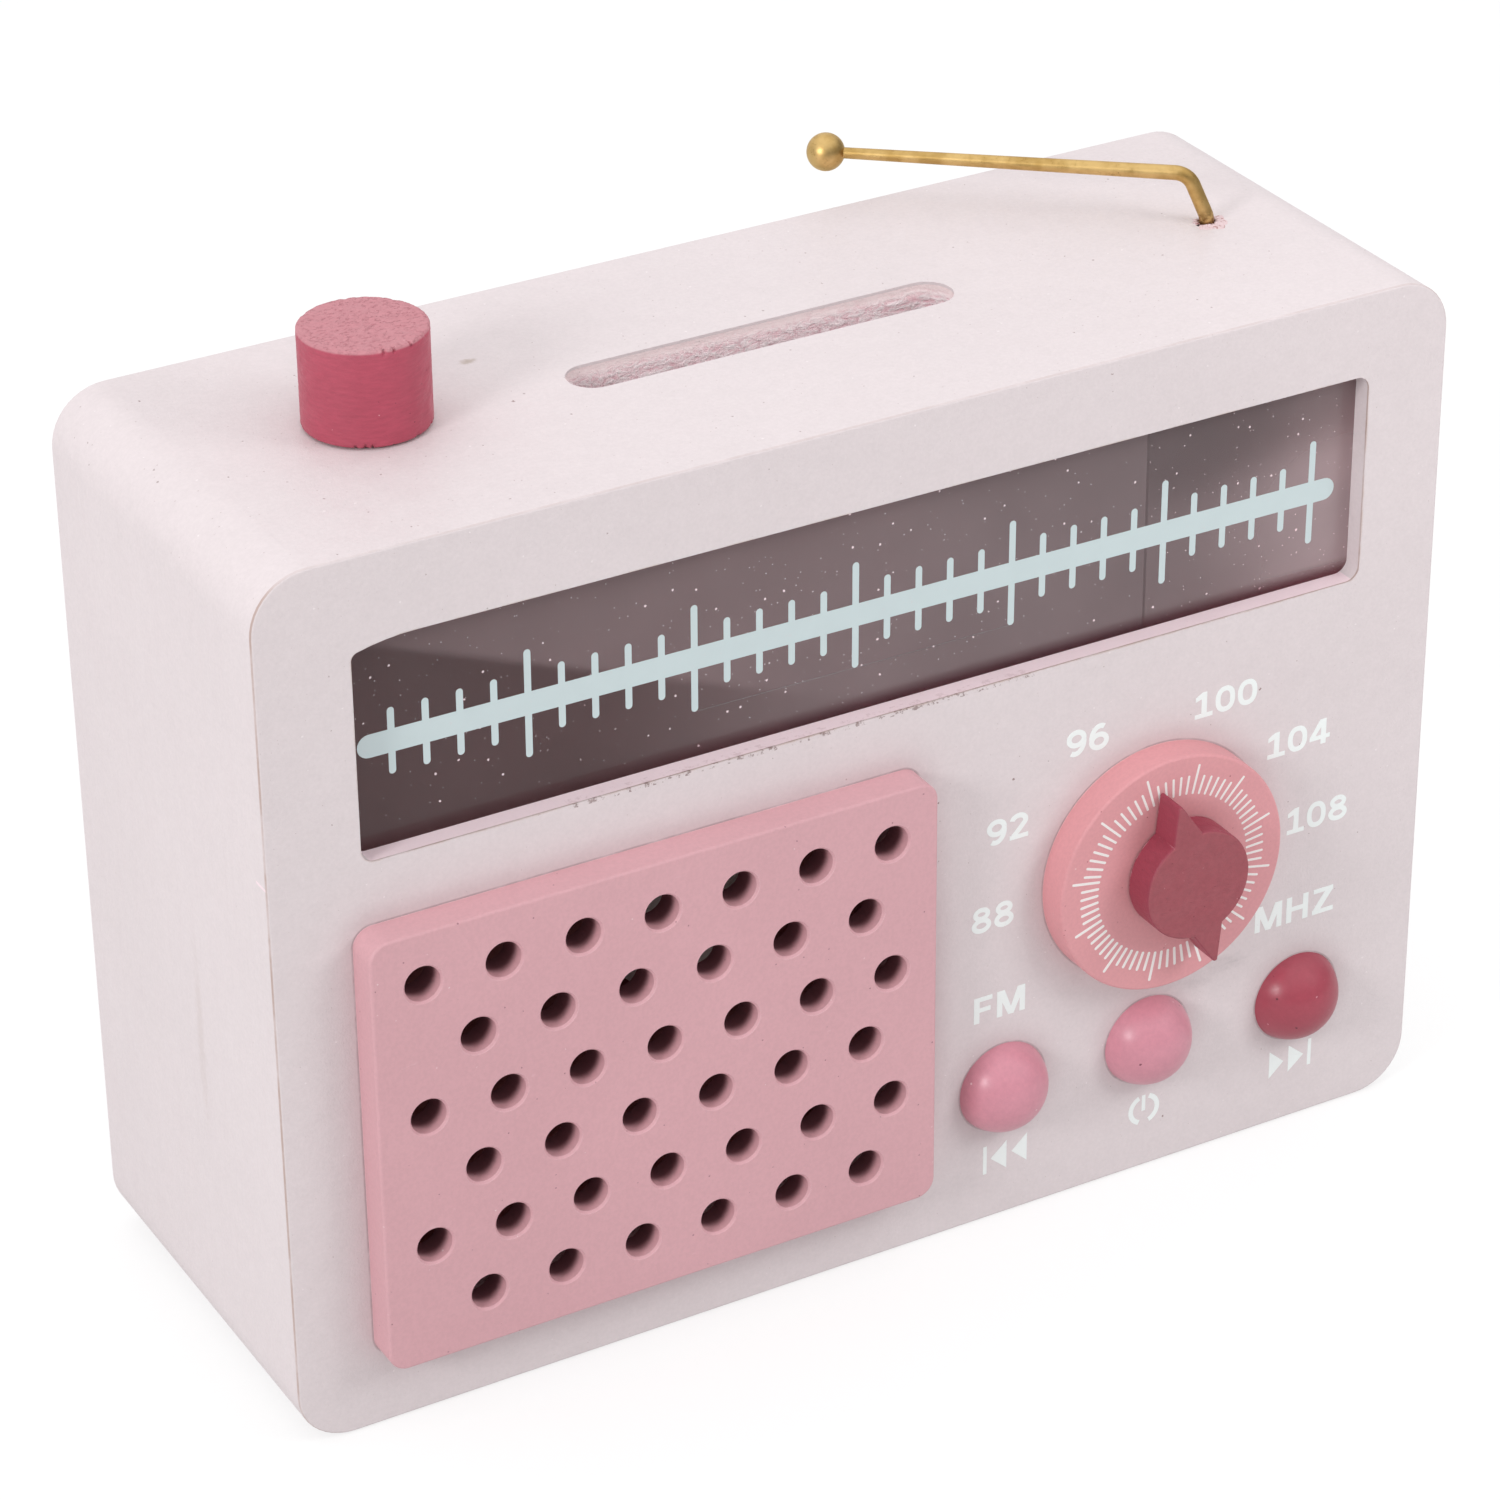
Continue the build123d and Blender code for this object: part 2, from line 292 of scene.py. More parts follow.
def slot_fibres(p):
    """Torn fibres along the slot, and the cutter's rings round its right end."""
    fibres = p.clouds(0.0011, 5.0, 0.7, stretch=(0.7, 0.7, 1.4), distortion=0.5)
    wobble = p.math("MULTIPLY_ADD", p.clouds(0.003, 3.0), 0.0012, p.z)
    rings = p.math("SINE", p.math("MULTIPLY", wobble, 2 * pi / RING_PITCH))
    right_end = SLOT_CENTRE.x + SLOT_HALF.x
    at_end = p.fade(p.x, right_end - 0.0085, right_end - 0.0070)
    return p.math("MULTIPLY_ADD", rings, p.times(at_end, 0.06), fibres)


def slot_paint(p, fibres, deep):
    """Paint on the slot's walls: plain at the top, pinker and rougher further down."""
    rough = p.blend(p.fade(fibres, 0.30, 0.62), "EFC3CC", "FFF4F6")
    flecks = p.fade(p.clouds(0.0010, 5.0, 0.75), 0.56, 0.62)
    rough = p.blend(p.times(flecks, 0.9), rough, "FFF6F6")
    return p.blend(p.math("MULTIPLY_ADD", deep, 0.8, 0.15), "F3E2E2", rough)


def joint_dirt_and_painted_shade(p):
    """Dirt and painted shade round everything glued on the front panel, deeper beside the grille, with a
    painted shadow to its right.
    """
    grille_low, grille_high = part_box("speaker_grille")
    reach = p.from_panel(grille_low, grille_high, GRILLE_CORNER)
    for name in ("dial_disc", "rewind_button", "power_button", "forward_button"):
        low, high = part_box(name)
        reach = p.math("MINIMUM", reach, p.from_circle((low + high) / 2, (high.x - low.x) / 2))
    on_face = p.math("LESS_THAN", p.y, FRONT_FACE + 0.0001)
    patchy = p.fade(p.clouds(0.004, 4.0, 0.6), 0.3, 0.6, 0.25, 0.55)
    # A dark line of dirt and painted shade in each joint
    line = p.times(p.fade(reach, 0.00042, 0.00012), patchy)
    middle = (grille_low + grille_high) / 2
    # Painted shadow to the right of the grille, as cast by light from the left
    painted_lee_shadow = p.smudge((grille_high.x, FRONT_FACE, middle.z), (0.0070, 0.001, 0.0400), 0.02)
    # Painted shade fading out from the edges of the glued parts
    painted_shade = p.fade(reach, 0.0042, 0.0, 0.0, 0.12)
    return p.times(p.most(line, painted_shade, p.times(painted_lee_shadow, 0.30)), on_face)


def handling_marks(p, base):
    """Smudges where the box was handled, and a scatter of small dark and light specks."""
    base = p.speckled(base, (0.0013, 0.00016, 0.5, 7.7), 0.40, "A58D8A")
    base = p.speckled(base, (0.0029, 0.00024, 0.5, 0.31), 0.60, "8A6F6C")
    base = p.speckled(base, (0.0068, 0.00036, 0.45, 1.7), 0.75, "7C5750")
    base = p.speckled(base, (0.0024, 0.00022, 0.5, 5.1), 0.5, "FFF6F8")
    spot = p.smudge((-0.0383, 0.0118, TOP_FACE), (0.0017, 0.0011, 0.001))
    base = p.blend(p.times(spot, 0.6), base, "A8937F")
    streaks = p.fade(p.clouds(0.0016, 4.0, 0.65, stretch=(0.3, 1.0, 1.0)), 0.40, 0.62, 0.35, 1.0)
    rubbed = p.most(
        p.times(p.smudge((0.0570, FRONT_FACE, 0.0302), (0.0052, 0.001, 0.0018)), 0.34),
        p.times(p.smudge((0.0510, FRONT_FACE, 0.0292), (0.0080, 0.001, 0.0024)), 0.20),
    )
    base = p.blend(p.times(rubbed, streaks), base, "A39A9C")
    side = p.smudge((CASE_LOW.x, -0.006, 0.052), (0.001, 0.0016, 0.019))
    return p.blend(p.times(side, 0.16), base, "B29C90")


def worn_edges(p, base):
    """Paint worn thin along the outlines of the front, the back and the window, with painted light on the
    window's ledge.
    """
    edge = p.edge(0.0005)
    front_edge = p.math("LESS_THAN", p.y, FRONT_FACE + 0.0015)
    back_edge = p.math("GREATER_THAN", p.y, BACK_FACE - 0.0015)
    worn = p.times(p.most(front_edge, back_edge), p.fade(edge, 0.04, 0.15))
    patchy = p.fade(p.clouds(0.006, 5.0, 0.65), 0.38, 0.62)
    base = p.blend(p.times(worn, patchy, 0.55), base, "BC9F8E")
    behind_face = p.fade(p.y, FRONT_FACE + 0.00004, FRONT_FACE + 0.00012)
    rounded = p.times(behind_face, p.fade(p.y, FRONT_FACE + 0.0004, FRONT_FACE + 0.0003))
    along_top = p.fade(p.z, TOP_FACE - 0.0030, TOP_FACE - 0.0005, 1.0, 0.3)
    rubbed = p.fade(p.clouds(0.009, 5.0, 0.6), 0.35, 0.60, 0.35, 1.0)
    base = p.blend(p.times(rounded, along_top, rubbed, 0.7), base, "AD8D80")
    chips = p.times(worn, p.fade(p.clouds(0.0016, 4.0, 0.7), 0.65, 0.71))
    base = p.blend(p.times(chips, 0.75), base, "8E6C5E")
    sill_height = p.inside(p.z, WINDOW_SILL - 0.0006, WINDOW_SILL + 0.0003)
    sill = p.times(p.inside(p.x, -0.047, 0.024), sill_height, front_edge)
    crumbs = p.fade(p.clouds(0.0012, 5.0, 0.75), 0.52, 0.59)
    base = p.blend(p.times(sill, crumbs, 0.7), base, "7A5B55")
    # Painted light: the window's upward-facing ledge is painted lighter, as if lit from above
    ledge_depth = p.inside(p.y, FRONT_FACE + 0.0003, PANE_FRONT)
    lit_ledge = p.times(p.inside(p.z, WINDOW_SILL - 0.0002, WINDOW_SILL + 0.0002), ledge_depth)
    return p.blend(p.times(lit_ledge, 0.7), base, "FFE6EE")


def case_paint():
    p = Paint("case_paint", roughness=0.5, specular=0.4)
    base = p.tone("E3D8DA", 0.014, p.clouds(0.03, 4.0))
    base = p.tone(base, 0.020, p.clouds(0.0006, 2.0))
    base = p.tone(base, 0.016, p.clouds(0.0022, 4.0, 0.7))
    grain = p.clouds(0.0011, 3.0, 0.6, stretch=(1.0, 1.0, 0.06))
    side = p.math("GREATER_THAN", p.math("ABSOLUTE", p.x), -CASE_LOW.x - 0.0002)
    base = p.blend(p.times(side, p.fade(grain, 0.45, 0.75), 0.05), base, "CDB9BD")
    slot_wall = slot_mask(p)
    deep = p.fade(p.z, TOP_FACE - 0.0008, TOP_FACE - 0.0026)
    routed = slot_fibres(p)
    base = p.blend(slot_wall, base, slot_paint(p, routed, deep))
    base = handling_marks(p, base)
    # Dirt and painted shade round the parts glued on the front
    base = p.blend(joint_dirt_and_painted_shade(p), base, "94777D")
    base = worn_edges(p, base)
    # Bare board inside the box
    hollow = p.times(
        p.math("LESS_THAN", p.math("ABSOLUTE", p.x), WALL_INSIDE + 0.00005),
        p.inside(p.z, FLOOR_INSIDE - 0.00005, CEILING + 0.00005),
        p.inside(p.y, RING_FRONT - 0.00005, RING_BACK + 0.00005),
    )
    board = p.tone("9A6262", 0.06, p.clouds(0.014, 3.0))
    base = p.blend(hollow, base, board)
    roughness = p.fade(p.clouds(0.004, 3.0), 0.2, 0.8, 0.40, 0.58)
    roughness = p.math("ADD", roughness, p.times(p.most(slot_wall, hollow), 0.3), clamp=True)
    normal = sprayed_grain(p, depth=0.00005, where=p.math("SUBTRACT", 1.0, hollow))
    rough_wall = p.relief(p.times(routed, slot_wall, p.math("MULTIPLY_ADD", deep, 0.8, 0.2)), 0.0006, normal)
    return p.finish(base, roughness, rough_wall)


def grille_paint():
    p = Paint("grille_paint", roughness=0.5, specular=0.4)
    base = p.tone("DAA8AF", 0.020, p.clouds(0.022, 4.0))
    base = p.tone(base, 0.030, p.clouds(0.0005, 2.0))
    face = p.math("LESS_THAN", p.y, GRILLE_FRONT + 0.0002)
    scratch = p.clouds(0.0015, 4.0, 0.6, stretch=(0.35, 1.0, 0.8), distortion=1.2)
    base = p.blend(p.times(face, p.fade(scratch, 0.70, 0.74), 0.25), base, "EBC6CD")
    base = p.speckled(base, (0.0021, 0.00017, 0.5, 0.9), 0.6, "7F4C57")
    base = p.speckled(base, (0.0027, 0.00020, 0.4, 2.9), 0.6, "F2DDE0")
    # Lighter worn edges, which also stand in for a painted highlight along them
    edge = p.edge(0.00045)
    worn = p.times(p.fade(edge, 0.04, 0.16), p.fade(p.clouds(0.005, 4.0), 0.3, 0.6))
    base = p.blend(p.times(worn, 0.7), base, "F3CDD3")
    # Darker deeper in the holes: unpainted wood and painted shade
    low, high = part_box("speaker_grille")
    rim = p.from_panel(low, high, GRILLE_CORNER)
    deep = p.fade(p.y, GRILLE_FRONT + 0.0012, GRILLE_FRONT + 0.0030)
    hole_bare_wood_and_shade = p.times(p.math("LESS_THAN", rim, -0.0005), deep)
    base = p.blend(p.times(hole_bare_wood_and_shade, 0.85), base, "5A3038")
    roughness = p.fade(p.clouds(0.003, 3.0), 0.2, 0.8, 0.36, 0.54)
    return p.finish(base, roughness, sprayed_grain(p, 0.0004, 0.000028))


def disc_paint():
    p = Paint("disc_paint", roughness=0.5, specular=0.35)
    base = p.tone("E09EA3", 0.020, p.clouds(0.012, 4.0))
    base = p.tone(base, 0.030, p.clouds(0.0005, 2.0))
    base = p.speckled(base, (0.0018, 0.00018, 0.5, 0.4), 0.65, "93474F")
    base = p.speckled(base, (0.0026, 0.0002, 0.4, 3.3), 0.6, "F6DADA")
    # Lighter worn edges, which also stand in for a painted highlight along them
    edge = p.edge(0.0005)
    worn = p.times(p.fade(edge, 0.04, 0.16), p.fade(p.clouds(0.004, 4.0), 0.3, 0.6))
    base = p.blend(p.times(worn, 0.7), base, "F7CFCF")
    roughness = p.fade(p.clouds(0.003, 3.0), 0.2, 0.8, 0.42, 0.58)
    return p.finish(base, roughness, sprayed_grain(p, 0.00045, 0.00003))


def bead_paint(name, base_colour, dark, light, seed):
    """Satin paint on a turned half bead."""
    p = Paint(name, roughness=0.33, specular=0.5)
    base = p.tone(base_colour, 0.02, p.clouds(0.006, 3.0))
    base = p.tone(base, 0.05, p.clouds(0.0009, 4.0, 0.75))
    base = p.speckled(base, (0.0021, 0.00030, 0.32, seed), 0.85, dark)
    base = p.speckled(base, (0.0020, 0.00022, 0.30, seed + 1.3), 0.75, light)
    roughness = p.fade(p.clouds(0.0006, 3.0), 0.2, 0.8, 0.30, 0.38)
    return p.finish(base, roughness, sprayed_grain(p, 0.0005, 0.000008))


def raspberry_paint(name, flat_face, paint, chalk_and_sheen, streaks, pitted, edge_wear_and_highlight_tone, shaded_chips=()):
    """Raspberry paint on a turned or sawn knob; flat_face(p) marks the sawn face, painted paler as chalky
    end grain and a painted sheen.
    """
    p = Paint(name, roughness=0.45, specular=0.45)
    grain = p.clouds(0.0007, 4.0, 0.65, stretch=(0.35, 0.35, 1.6))
    base = p.tone(paint, 0.04, p.clouds(0.007, 4.0))
    base = p.tone(base, streaks, grain)
    # The sawn face is painted paler: chalky end grain and a painted sheen
    flat = flat_face(p)
    chalky_sheen = p.tone(chalk_and_sheen, 0.06, p.clouds(0.0008, 4.0, 0.6))
    pits = p.fade(p.clouds(0.00045, 4.0, 0.7, stretch=(0.7, 1.0, 1.0)), 0.54, 0.66)
    chalky_sheen = p.blend(p.times(pits, pitted), chalky_sheen, paint)
    base = p.blend(flat, base, chalky_sheen)
    base = p.speckled(base, (0.0014, 0.00016, 0.5, 0.7), 0.6, "5E2330")
    base = p.speckled(base, (0.0016, 0.00016, 0.4, 4.1), 0.65, "E3B3BD")
    # Lighter worn edges, which also stand in for a painted highlight along them
    edge = p.edge(0.0004)
    worn = p.times(p.fade(edge, 0.05, 0.18), p.fade(p.clouds(0.0035, 5.0, 0.7), 0.45, 0.56))
    base = p.blend(p.times(worn, 0.6), base, edge_wear_and_highlight_tone)
    roughness = p.fade(p.clouds(0.002, 3.0), 0.2, 0.8, 0.36, 0.55)
    roughness = p.math("ADD", roughness, p.times(flat, 0.15))
    # Painted shade in the deepest chips
    for centre in shaded_chips:
        base = p.blend(p.times(p.smudge(centre, CHIP_SHADE_RADII, 0.35), 0.85), base, "4A1A24")
    normal = sprayed_grain(p, 0.00045, 0.00005)
    sunk = p.relief(p.times(pits, flat), pitted * -0.0002, normal)
    return p.finish(base, roughness, p.relief(grain, 0.00007, sunk))


def brass():
    p = Paint("brass", roughness=0.38, metallic=1.0)
    cloudy = p.clouds(0.0035, 4.0, 0.6)
    base = p.blend(p.fade(cloudy, 0.35, 0.70), "DFBD7E", "C29E5E")
    tarnish = p.fade(p.clouds(0.0012, 5.0, 0.7), 0.58, 0.70)
    base = p.blend(p.times(tarnish, 0.45), base, "8F6526")
    base = p.speckled(base, (0.0012, 0.00013, 0.5, 0.2), 0.6, "5D3F18")
    foot = p.fade(p.z, TOP_FACE + 0.0030, TOP_FACE + 0.0006)
    scraped = p.times(foot, p.fade(p.clouds(0.0009, 4.0, 0.7), 0.35, 0.60))
    base = p.blend(p.times(scraped, 0.8), base, "6B4A26")
    roughness = p.fade(p.clouds(0.0018, 4.0), 0.2, 0.8, 0.34, 0.50)
    drawn = p.clouds(0.0006, 3.0, 0.6, stretch=(0.15, 0.15, 0.6))
    return p.finish(base, roughness, p.relief(drawn, 0.00002))


def raw_wood():
    p = Paint("raw_wood", roughness=0.75, specular=0.3)
    rings = p.clouds(0.0014, 5.0, 0.65, stretch=(1.0, 0.12, 1.0), distortion=0.4)
    base = p.blend(p.fade(rings, 0.30, 0.70), "D9B88D", "B48A5C")
    base = p.speckled(base, (0.003, 0.00025, 0.4, 0.6), 0.5, "7E5936")
    return p.finish(base, None, p.relief(rings, 0.00008))


def stopper_plastic():
    p = Paint("stopper_plastic", roughness=0.42, specular=0.5)
    base = p.tone("E8E4DF", 0.02, p.clouds(0.008, 3.0))
    base = p.speckled(base, (0.0028, 0.00022, 0.35, 1.1), 0.5, "8C8580")
    edge = p.edge(0.0005)
    base = p.blend(p.times(p.fade(edge, 0.05, 0.18), 0.35), base, "FBFAF8")
    roughness = p.fade(p.clouds(0.002, 3.0), 0.2, 0.8, 0.36, 0.50)
    return p.finish(base, roughness, p.relief(p.clouds(0.0004, 2.0), 0.00002))


def print_ink(name, ink):
    """Screen-printed ink, a little uneven and thin in places."""
    p = Paint(name, roughness=0.45, specular=0.4)
    base = p.tone(ink, 0.012, p.clouds(0.004, 3.0))
    thin = p.fade(p.clouds(0.0009, 4.0, 0.7), 0.62, 0.72)
    base = p.blend(p.times(thin, 0.22), base, "DCCFD2")
    return p.finish(base, None, p.relief(p.clouds(0.0004, 2.0), 0.00001))


def pane_film_and_painted_light(p):
    """A thin pink haze of dust with a hairline, which also stands in for the pane's reflection: thinner
    below a slanting painted reflection edge at the left, with painted light at the lower right and painted
    shade right of the hairline and by the sill.
    """
    # The haze is dust and also a painted reflection of the bright surroundings
    left_rise = p.fade(p.x, -0.078, -0.052, 0.130, 0.165)
    above = p.math("ADD", left_rise, p.fade(p.x, -0.045, 0.0, 0.0, 0.03))
    below = p.fade(p.x, -0.045, 0.003, 0.045, 0.190)
    # Slanting painted reflection edge at the left
    reflection_edge = p.fade(p.math("MULTIPLY_ADD", p.x, 0.39, p.z), 0.0868, 0.0888)
    dust_and_painted_reflection = p.math("MULTIPLY_ADD", p.math("SUBTRACT", above, below), reflection_edge, below)
    # Painted light at the lower right, where light through the window falls inside
    lit_lower_right = p.times(p.fade(p.x, 0.048, 0.076, 0.0, 0.16), p.fade(p.z, 0.1130, 0.1040))
    # Painted shade right of the hairline near the top
    past_line = p.times(p.fade(p.x, PANE_HAIRLINE, PANE_HAIRLINE + 0.0004), p.fade(p.x, 0.073, 0.058))
    shaded_upper_right = p.times(past_line, p.fade(p.z, 0.101, 0.110), 0.06)
    off_line = p.math("ABSOLUTE", p.math("SUBTRACT", p.x, PANE_HAIRLINE))
    line = p.fade(off_line, 0.00028, 0.00008, 1.0, 0.55)
    total_film_and_light = p.math("SUBTRACT", p.math("ADD", dust_and_painted_reflection, lit_lower_right), shaded_upper_right)
    # Thinner near the sill: painted shade where the pane reflects the shaded sill
    sill = p.fade(p.z, WINDOW_SILL - 0.0002, WINDOW_SILL + 0.0030, 0.75, 1.0)
    return p.times(total_film_and_light, line, sill, p.fade(p.clouds(0.012, 3.0, 0.5), 0.25, 0.80, 0.93, 1.07))


def clear_pane():
    """A clear plastic pane: mostly see-through, with its gloss and the dust on it, whose layer also carries
    a painted reflection and painted shade.
    """
    p = Paint("clear_pane")
    p.nodes.remove(p.shader)
    clear = p.add("ShaderNodeBsdfTransparent")
    clear.inputs["Color"].default_value = (0.93, 0.90, 0.905, 1.0)
    gloss = p.add("ShaderNodeBsdfGlossy")
    gloss.inputs["Roughness"].default_value = 0.06
    facing = p.add("ShaderNodeLayerWeight")
    facing.inputs["Blend"].default_value = 0.5
    rise = p.math("POWER", facing.outputs["Facing"], 5.0)
    front = p.math("LESS_THAN", p.y, PANE_FRONT + 0.0001)
    share = p.times(p.math("MULTIPLY_ADD", rise, 0.9, 0.045), front)
    pane = p.add("ShaderNodeMixShader")
    p.wire(share, pane.inputs[0])
    p.wire(clear.outputs[0], pane.inputs[1])
    p.wire(gloss.outputs[0], pane.inputs[2])
    dust_and_light_shader = p.add("ShaderNodeBsdfDiffuse")
    # Dark maroon near the sill: painted shade where the pane reflects the shaded sill
    low = p.fade(p.z, WINDOW_SILL + 0.0026, WINDOW_SILL)
    p.wire(p.blend(low, "F3DADE", "7A2F44"), dust_and_light_shader.inputs["Color"])
    small = p.times(p.specks(0.0009, 0.00017, 0.7, 0.52), 0.7)
    grit = p.most(small, p.times(p.specks(0.0021, 0.00022, 0.7, 2.2), 0.85))
    cover = p.times(p.math("ADD", grit, pane_film_and_painted_light(p)), front)
    dust_and_light_mix = p.add("ShaderNodeMixShader")
    p.wire(cover, dust_and_light_mix.inputs[0])
    p.wire(pane.outputs[0], dust_and_light_mix.inputs[1])
    p.wire(dust_and_light_shader.outputs[0], dust_and_light_mix.inputs[2])
    p.wire(dust_and_light_mix.outputs[0], p.nodes["Material Output"].inputs["Surface"])
    return p.material


def torn_paint():
    """Bare wood fibres and curled paint round the aerial's hole."""
    p = Paint("torn_paint", roughness=0.75, specular=0.2)
    reach = p.add("ShaderNodeVectorMath", operation="DISTANCE")
    p.wire(p.place, reach.inputs[0])
    reach.inputs[1].default_value = AERIAL_FOOT
    ragged = p.math("MULTIPLY_ADD", p.clouds(0.0007, 4.0, 0.7), 0.0012, reach.outputs["Value"])
    base = p.blend(p.fade(ragged, 0.0016, 0.0023), "6E4234", "E6CDD0")
    fibres = p.fade(p.clouds(0.0005, 3.0, 0.7), 0.56, 0.64)
    base = p.blend(p.times(fibres, 0.8), base, "A0625A")
    return p.finish(base, None, p.relief(p.clouds(0.0003, 3.0), 0.0001))


# ------------------------------------------------------------------ flat prints


def ellipse(centre, radii, start=0.0, end=360.0, steps=40, power=2.0):
    """Points on an ellipse, or on a squarer one with power above 2, from start to end degrees."""
    points = []
    for i in range(steps + 1):
        angle = radians(start + (end - start) * i / steps)
        along, up = cos(angle), sin(angle)
        x = abs(along) ** (2.0 / power) * (1 if along >= 0 else -1)
        z = abs(up) ** (2.0 / power) * (1 if up >= 0 else -1)
        points.append((centre[0] + radii[0] * x, centre[1] + radii[1] * z))
    return points


def ribbon(path, width):
    """Quads that follow a path of points, with mitred joints."""
    points = [Vector(p) for p in path]
    closed = (points[0] - points[-1]).length < 1e-6
    sides = []
    for i, point in enumerate(points):
        before = points[i - 1] if i > 0 else (points[-2] if closed else None)
        after = points[i + 1] if i + 1 < len(points) else (points[1] if closed else None)
        steps = [(a, b) for a, b in ((before, point), (point, after)) if a is not None and b is not None]
        ways = [(b - a).normalized() for a, b in steps]
        way = sum(ways, Vector((0.0, 0.0))).normalized()
        across = Vector((-way.y, way.x))
        stretch = 1.0 / max(0.4, ways[0].dot(way))
        sides.append((point + across * width / 2 * stretch, point - across * width / 2 * stretch))
    return [[a[1], b[1], b[0], a[0]] for a, b in zip(sides, sides[1:])]


def bar(start, end, width, rounded=True):
    """A straight stroke, with round ends unless told otherwise."""
    a, b = Vector(start), Vector(end)
    shapes = ribbon([a, b], width)
    if rounded:
        turn = degrees(atan2((b - a).y, (b - a).x))
        shapes.append([Vector(p) for p in ellipse(b, (width / 2,) * 2, turn - 90, turn + 90, 10)])
        shapes.append([Vector(p) for p in ellipse(a, (width / 2,) * 2, turn + 90, turn + 270, 10)])
    return shapes


# Signs are drawn in their own units and return their shapes and their width
CAP = 4.15


def glyph_zero():
    return ribbon(ellipse((1.62, 2.075), (1.20, 1.70), power=2.35), 0.80), 3.24


def glyph_one():
    stem = [(1.05, 0.5), (1.92, 0.5), (1.92, CAP), (1.22, CAP), (1.05, 4.03)]
    flag = [(0.08, 2.78), (1.2, 3.15), (1.2, CAP), (0.08, 3.48)]
    foot = [(0.0, 0.0), (2.9, 0.0), (2.9, 0.70), (0.0, 0.70)]
    return [stem, flag, foot], 2.9


def glyph_two():
    bowl = ellipse((1.52, 2.93), (1.08, 0.85), 172, -38, 26)
    path = bowl + [(1.55, 1.45), (0.62, 0.52)]
    base = [(0.05, 0.0), (3.05, 0.0), (3.05, 0.70), (0.05, 0.70)]
    return ribbon(path, 0.80) + [base], 3.08


def glyph_four():
    stem = [(1.85, 0.0), (2.70, 0.0), (2.70, CAP), (1.85, CAP)]
    cross = [(0.0, 0.83), (3.35, 0.83), (3.35, 1.52), (0.0, 1.52)]
    slope = [(0.0, 1.40), (0.85, 1.40), (1.95, 3.05), (1.95, CAP), (1.68, CAP)]
    return [stem, cross, slope], 3.35


def glyph_six():
    bowl = ellipse((1.62, 1.40), (1.20, 1.03), steps=36)
    tail = ellipse((1.78, 1.95), (1.36, 1.83), 186, 62, 24)
    return ribbon(bowl, 0.78) + ribbon(tail, 0.80), 3.24


def glyph_eight():
    upper = ellipse((1.62, 3.06), (1.00, 0.71), steps=32)
    lower = ellipse((1.62, 1.22), (1.20, 0.85), steps=36)
    return ribbon(upper, 0.74) + ribbon(lower, 0.76), 3.24


def glyph_nine():
    shapes, width = glyph_six()
    return [[(width - x, CAP - z) for x, z in shape] for shape in shapes], width


def glyph_f():
    stem = [(0.0, 0.0), (0.92, 0.0), (0.92, CAP), (0.0, CAP)]
    top = [(0.0, 3.42), (3.0, 3.42), (3.0, CAP), (0.0, CAP)]
    middle = [(0.0, 1.72), (2.72, 1.72), (2.72, 2.42), (0.0, 2.42)]
    return [stem, top, middle], 3.0


def glyph_m():
    left = [(0.0, 0.0), (0.88, 0.0), (0.88, CAP), (0.0, CAP)]
    right = [(3.72, 0.0), (4.60, 0.0), (4.60, CAP), (3.72, CAP)]
    down = [(0.0, CAP), (1.86, 0.0), (2.30, 0.0), (2.75, 0.0), (1.22, CAP)]
    up = [(4.60, CAP), (3.38, CAP), (1.85, 0.0), (2.30, 0.0), (2.74, 0.0)]
    return [left, right, down, up], 4.6


def glyph_h():
    left = [(0.0, 0.0), (0.92, 0.0), (0.92, CAP), (0.0, CAP)]
    right = [(2.83, 0.0), (3.75, 0.0), (3.75, CAP), (2.83, CAP)]
    cross = [(0.0, 1.72), (3.75, 1.72), (3.75, 2.45), (0.0, 2.45)]
    return [left, right, cross], 3.75


def glyph_z():
    top = [(0.12, 3.44), (3.5, 3.44), (3.5, CAP), (0.12, CAP)]
    slope = [(0.0, 0.6), (0.0, 0.3), (1.05, 0.3), (3.5, 3.55), (3.5, 3.9), (2.42, 3.9)]
    base = [(0.0, 0.0), (3.6, 0.0), (3.6, 0.71), (0.0, 0.71)]
    return [top, slope, base], 3.6


GLYPHS = {
    "0": glyph_zero,
    "1": glyph_one,
    "2": glyph_two,
    "4": glyph_four,
    "6": glyph_six,
    "8": glyph_eight,
    "9": glyph_nine,
    "F": glyph_f,
    "M": glyph_m,
    "H": glyph_h,
    "Z": glyph_z,
}
GLYPH_GAP = {"digit": 0.42, "letter": 0.78}


def lettering(text, left, right, low, high):
    """The text's strokes, fitted between left and right and between low and high, in mm."""
    gap = GLYPH_GAP["digit"] if text.isdigit() else GLYPH_GAP["letter"]
    shapes, at = [], 0.0
    for sign in text:
        strokes, width = GLYPHS[sign]()
        shapes += [[(at + x, z) for x, z in stroke] for stroke in strokes]
        at += width + gap
    across = (right - left) / (at - gap)
    up = (high - low) / CAP
    return [[Vector((left + x * across, low + z * up)) for x, z in shape] for shape in shapes]


def covers(shape, point):
    """True if the point lies in the closed shape, by counting the sides to its right."""
    hit = False
    for a, b in zip(shape, shape[1:] + shape[:1]):
        if (a.y > point.y) != (b.y > point.y):
            crossing = a.x + (point.y - a.y) * (b.x - a.x) / (b.y - a.y)
            if point.x < crossing:
                hit = not hit
    return hit


